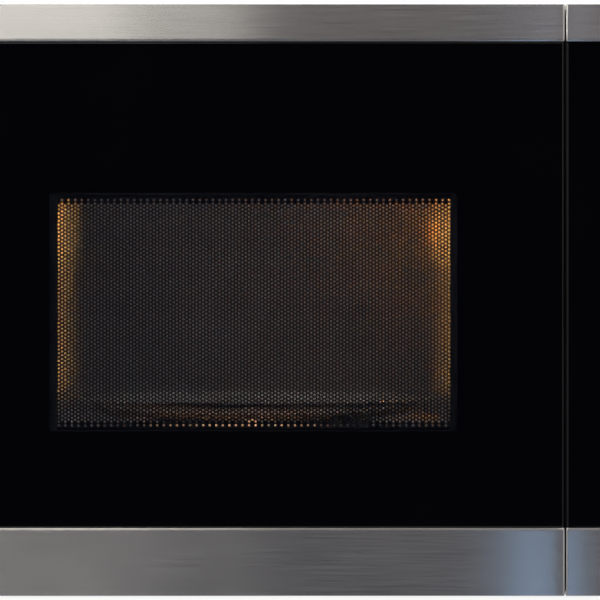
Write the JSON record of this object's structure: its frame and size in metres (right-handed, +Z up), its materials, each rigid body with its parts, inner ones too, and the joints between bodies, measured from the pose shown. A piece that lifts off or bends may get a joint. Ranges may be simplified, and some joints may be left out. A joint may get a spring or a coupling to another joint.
{
  "type": "built-in microwave oven",
  "caption": "Built-in microwave oven with a side-hinged black glass door, steel strips, turntable, push-button latch and control panel.",
  "frame": {"origin": "middle of the footprint of the whole part, at the level of the shelf it stands on", "axes": "+X to the right seen from the front, +Y to the back of the niche, +Z up"},
  "size_m": [0.595, 0.368, 0.391],
  "materials": {
    "enamel_grey": "baked grey cavity enamel",
    "zinc_steel": "galvanised sheet",
    "brushed_steel": "horizontally brushed stainless steel",
    "black_glass": "back-printed black float glass",
    "clear_sheet": "clear sheet",
    "turntable_glass": "pressed clear glass",
    "bulb_glass": "clear lamp glass",
    "black_plastic": "fine-textured moulding",
    "grey_plastic": "moulded",
    "white_plastic": "moulded",
    "screen_black": "black-painted perforated sheet",
    "door_paint": "black powder coat",
    "copper_winding": "enamelled copper wire",
    "laminated_steel": "stacked laminations",
    "aluminium": "plain sheet",
    "mica": "pressed mica sheet",
    "board_green": "glass-fibre board with solder mask",
    "rubber_black": "moulded rubber",
    "display_grey": "lit display",
    "steel_bright": "bright zinc plate"
  },
  "bodies": {
    "housing": {"cavity": "enamel_grey", "front_plate": "zinc_steel", "outer_cover": "zinc_steel", "base_plate": "zinc_steel", "rear_panel": "zinc_steel", "feet": "rubber_black", "mains_gland": "black_plastic", "cover_screws": "steel_bright", "hinge_brackets": "zinc_steel", "waveguide": "zinc_steel", "waveguide_cover": "mica", "magnetron_yoke": "zinc_steel", "magnetron_anode": "aluminium", "magnetron_filter_box": "steel_bright", "transformer_core": "laminated_steel", "transformer_windings": "copper_winding", "capacitor": "aluminium", "capacitor_clamp": "zinc_steel", "fan_shroud": "grey_plastic", "fan_motor": "laminated_steel", "lamp_socket": "zinc_steel", "lamp_bulb": "bulb_glass", "filter_board": "board_green", "thermal_cutouts": "steel_bright", "turntable_motor": "steel_bright", "interlock_bracket": "white_plastic", "micro_switches": "black_plastic", "control_frame": "black_plastic", "control_glass": "black_glass", "control_top_strip": "brushed_steel", "control_board": "board_green", "display_module": "display_grey", "encoder": "grey_plastic"},
    "door": {"door_glass": "black_glass", "door_frame": "black_plastic", "door_top_strip": "brushed_steel", "door_bottom_strip": "brushed_steel", "rf_screen": "screen_black", "choke_ring": "door_paint", "choke_cover": "black_plastic", "inner_window": "clear_sheet", "door_back_plate": "door_paint"},
    "latch": {"latch_bar": "grey_plastic"},
    "open_button": {"open_button_cap": "brushed_steel", "open_button_carrier": "grey_plastic"},
    "lever": {"release_lever": "white_plastic"},
    "selector": {"selector_knob": "black_plastic", "selector_shaft": "steel_bright"},
    "key_power": {"key_power": "black_plastic"},
    "key_defrost": {"key_defrost": "black_plastic"},
    "key_stop": {"key_stop": "black_plastic"},
    "key_start": {"key_start": "black_plastic"},
    "turntable": {"turntable_plate": "turntable_glass", "turntable_coupler": "white_plastic"},
    "roller_ring": {"roller_ring": "white_plastic"},
    "roller_1": {"roller_1": "white_plastic"},
    "roller_2": {"roller_2": "white_plastic"},
    "roller_3": {"roller_3": "white_plastic"},
    "fan": {"fan_impeller": "grey_plastic"}
  },
  "joints": [
    {"name": "door_swing", "type": "hinge", "parent": "housing", "child": "door", "pos_m": [-0.29, -0.1565, 0.196], "axis": [0, 0, -1], "range_deg": [0, 95]},
    {"name": "latch_lift", "type": "slide", "parent": "door", "child": "latch", "axis": [0, 0, 1], "range_m": [0, 0.005], "stiffness_N_per_m": 250, "springref_m": -0.002},
    {"name": "open_press", "type": "slide", "parent": "housing", "child": "open_button", "axis": [0, 1, 0], "range_m": [0, 0.004], "stiffness_N_per_m": 700, "springref_m": -0.002},
    {"name": "lever_turn", "type": "hinge", "parent": "housing", "child": "lever", "pos_m": [0.122, -0.138, 0.0508], "axis": [1, 0, 0], "range_deg": [0, 18.3]},
    {"name": "selector_turn", "type": "hinge", "parent": "housing", "child": "selector", "pos_m": [0.2155, -0.166, 0.196], "axis": [0, 1, 0], "continuous": true},
    {"name": "key_power_press", "type": "slide", "parent": "housing", "child": "key_power", "axis": [0, 1, 0], "range_m": [0, 0.0015], "stiffness_N_per_m": 700, "springref_m": -0.001},
    {"name": "key_defrost_press", "type": "slide", "parent": "housing", "child": "key_defrost", "axis": [0, 1, 0], "range_m": [0, 0.0015], "stiffness_N_per_m": 700, "springref_m": -0.001},
    {"name": "key_stop_press", "type": "slide", "parent": "housing", "child": "key_stop", "axis": [0, 1, 0], "range_m": [0, 0.0015], "stiffness_N_per_m": 700, "springref_m": -0.001},
    {"name": "key_start_press", "type": "slide", "parent": "housing", "child": "key_start", "axis": [0, 1, 0], "range_m": [0, 0.0015], "stiffness_N_per_m": 700, "springref_m": -0.001},
    {"name": "turntable_spin", "type": "hinge", "parent": "housing", "child": "turntable", "pos_m": [-0.0728, 0.001, 0.1], "axis": [0, 0, 1], "continuous": true},
    {"name": "roller_ring_spin", "type": "hinge", "parent": "housing", "child": "roller_ring", "pos_m": [-0.0728, 0.001, 0.1073], "axis": [0, 0, 1], "continuous": true},
    {"name": "roller_1_spin", "type": "hinge", "parent": "roller_ring", "child": "roller_1", "pos_m": [0.00341, 0.045, 0.1073], "axis": [0.866, 0.5, 0], "continuous": true},
    {"name": "roller_2_spin", "type": "hinge", "parent": "roller_ring", "child": "roller_2", "pos_m": [-0.14901, 0.045, 0.1073], "axis": [-0.866, 0.5, 0], "continuous": true},
    {"name": "roller_3_spin", "type": "hinge", "parent": "roller_ring", "child": "roller_3", "pos_m": [-0.0728, -0.087, 0.1073], "axis": [0, -1, 0], "continuous": true},
    {"name": "fan_spin", "type": "hinge", "parent": "housing", "child": "fan", "pos_m": [0.1792, 0.136, 0.235], "axis": [0, 1, 0], "continuous": true}
  ],
  "couplings": [
    {"joint": "latch_lift", "follows": "open_press", "ratio": 1.25},
    {"joint": "lever_turn", "follows": "open_press", "rad_per_m": 79.456},
    {"joint": "roller_ring_spin", "follows": "turntable_spin", "ratio": 0.5},
    {"joint": "roller_1_spin", "follows": "turntable_spin", "ratio": -6.2857},
    {"joint": "roller_2_spin", "follows": "turntable_spin", "ratio": -6.2857},
    {"joint": "roller_3_spin", "follows": "turntable_spin", "ratio": -6.2857}
  ]
}
